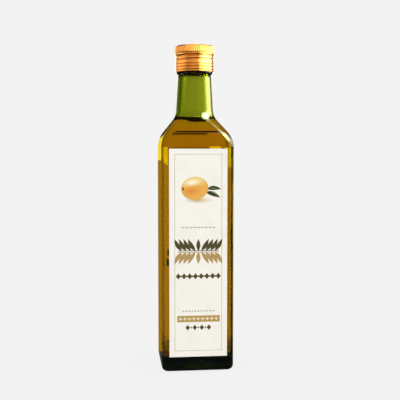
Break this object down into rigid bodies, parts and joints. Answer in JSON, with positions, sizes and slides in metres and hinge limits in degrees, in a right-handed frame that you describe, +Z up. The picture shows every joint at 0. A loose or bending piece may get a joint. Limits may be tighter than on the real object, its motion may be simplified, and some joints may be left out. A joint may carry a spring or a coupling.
{
  "type": "olive oil bottle",
  "caption": "Tall square glass bottle of olive oil with a sloping shoulder, a round neck, a rolled-on screw cap and a paper front label.",
  "frame": {"origin": "centre of the base, on the surface that the bottle stands on", "axes": "+Z up along the neck; the label faces -Y and +X is to its right"},
  "size_m": [0.0584, 0.0586, 0.2646],
  "materials": {
    "glass": "polished, green tinted",
    "oil": "clear amber liquid",
    "cap": "gold, satin",
    "label": "uncoated, printed"
  },
  "bodies": {
    "root": {"bottle": "glass", "oil": "oil", "cap": "cap", "label": "label"}
  },
  "joints": []
}
